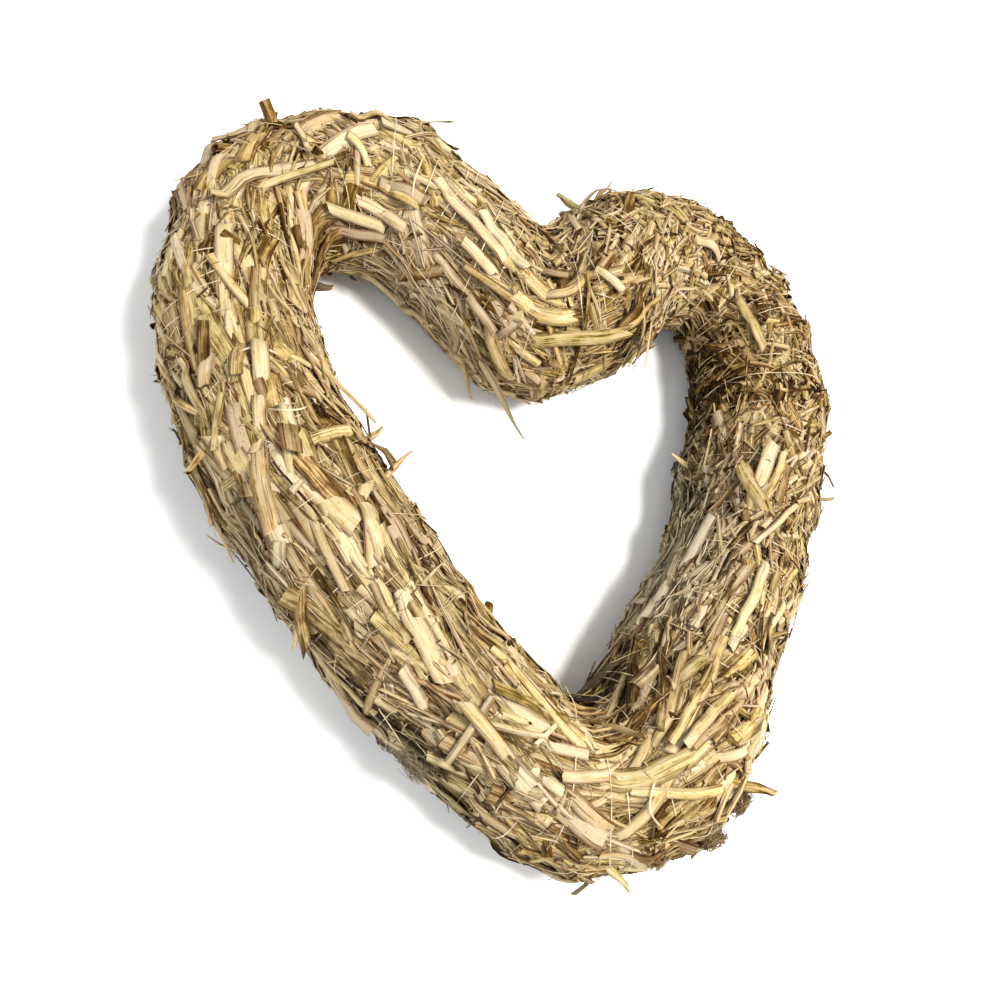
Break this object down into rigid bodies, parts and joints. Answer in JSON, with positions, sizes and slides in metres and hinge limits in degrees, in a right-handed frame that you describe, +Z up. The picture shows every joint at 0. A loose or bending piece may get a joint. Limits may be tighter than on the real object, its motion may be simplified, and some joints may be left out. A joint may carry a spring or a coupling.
{
  "type": "straw heart ornament",
  "caption": "Heart-shaped ring of tightly packed straw, bound round with a clear thread, with loose straw ends; it lies flat.",
  "frame": {"origin": "middle of the bounding box, on the surface that the heart lies on", "axes": "+Z up out of the lying heart, +Y from the tip to the lobes, +X to the right lobe seen from above"},
  "size_m": [0.2498, 0.2575, 0.0567],
  "materials": {
    "straw": "dry straw, golden to tan with grey-brown pieces, matte to satin",
    "loose_straw": "dry straw, paler and satin on its outer face",
    "thread": "clear nylon thread, glossy"
  },
  "bodies": {
    "root": {"binding_thread": "thread", "hollow_straw_stub": "loose_straw", "inner_straw_10": "loose_straw", "inner_straw_2": "loose_straw", "inner_straw_4": "loose_straw", "inner_straw_6": "loose_straw", "inner_straw_8": "loose_straw", "left_arm_broad_straw": "loose_straw", "left_arm_crossing_straw": "loose_straw", "left_arm_curl": "loose_straw", "left_arm_low_straw": "loose_straw", "left_arm_side_straw": "loose_straw", "left_arm_upper_straw": "loose_straw", "left_lobe_band": "loose_straw", "left_lobe_blade": "loose_straw", "left_lobe_top_straw": "loose_straw", "left_side_broad_straw": "loose_straw", "left_side_stub": "loose_straw", "lobe_slope_straw": "loose_straw", "notch_broad_straw": "loose_straw", "notch_dangling_straw": "loose_straw", "notch_pointed_straw": "loose_straw", "outer_straw_1": "loose_straw", "outer_straw_3": "loose_straw", "outer_straw_5": "loose_straw", "outer_straw_7": "loose_straw", "outer_straw_9": "loose_straw", "right_arm_broad_straw": "loose_straw", "right_arm_curl": "loose_straw", "right_arm_long_straw": "loose_straw", "right_lobe_outer_straw": "loose_straw", "right_lobe_top_straw": "loose_straw", "straw_bundle": "straw", "tip_corner_straw": "loose_straw", "tip_crossing_straw": "loose_straw", "tip_lower_straw": "loose_straw", "tip_outer_straw": "loose_straw"}
  },
  "joints": []
}
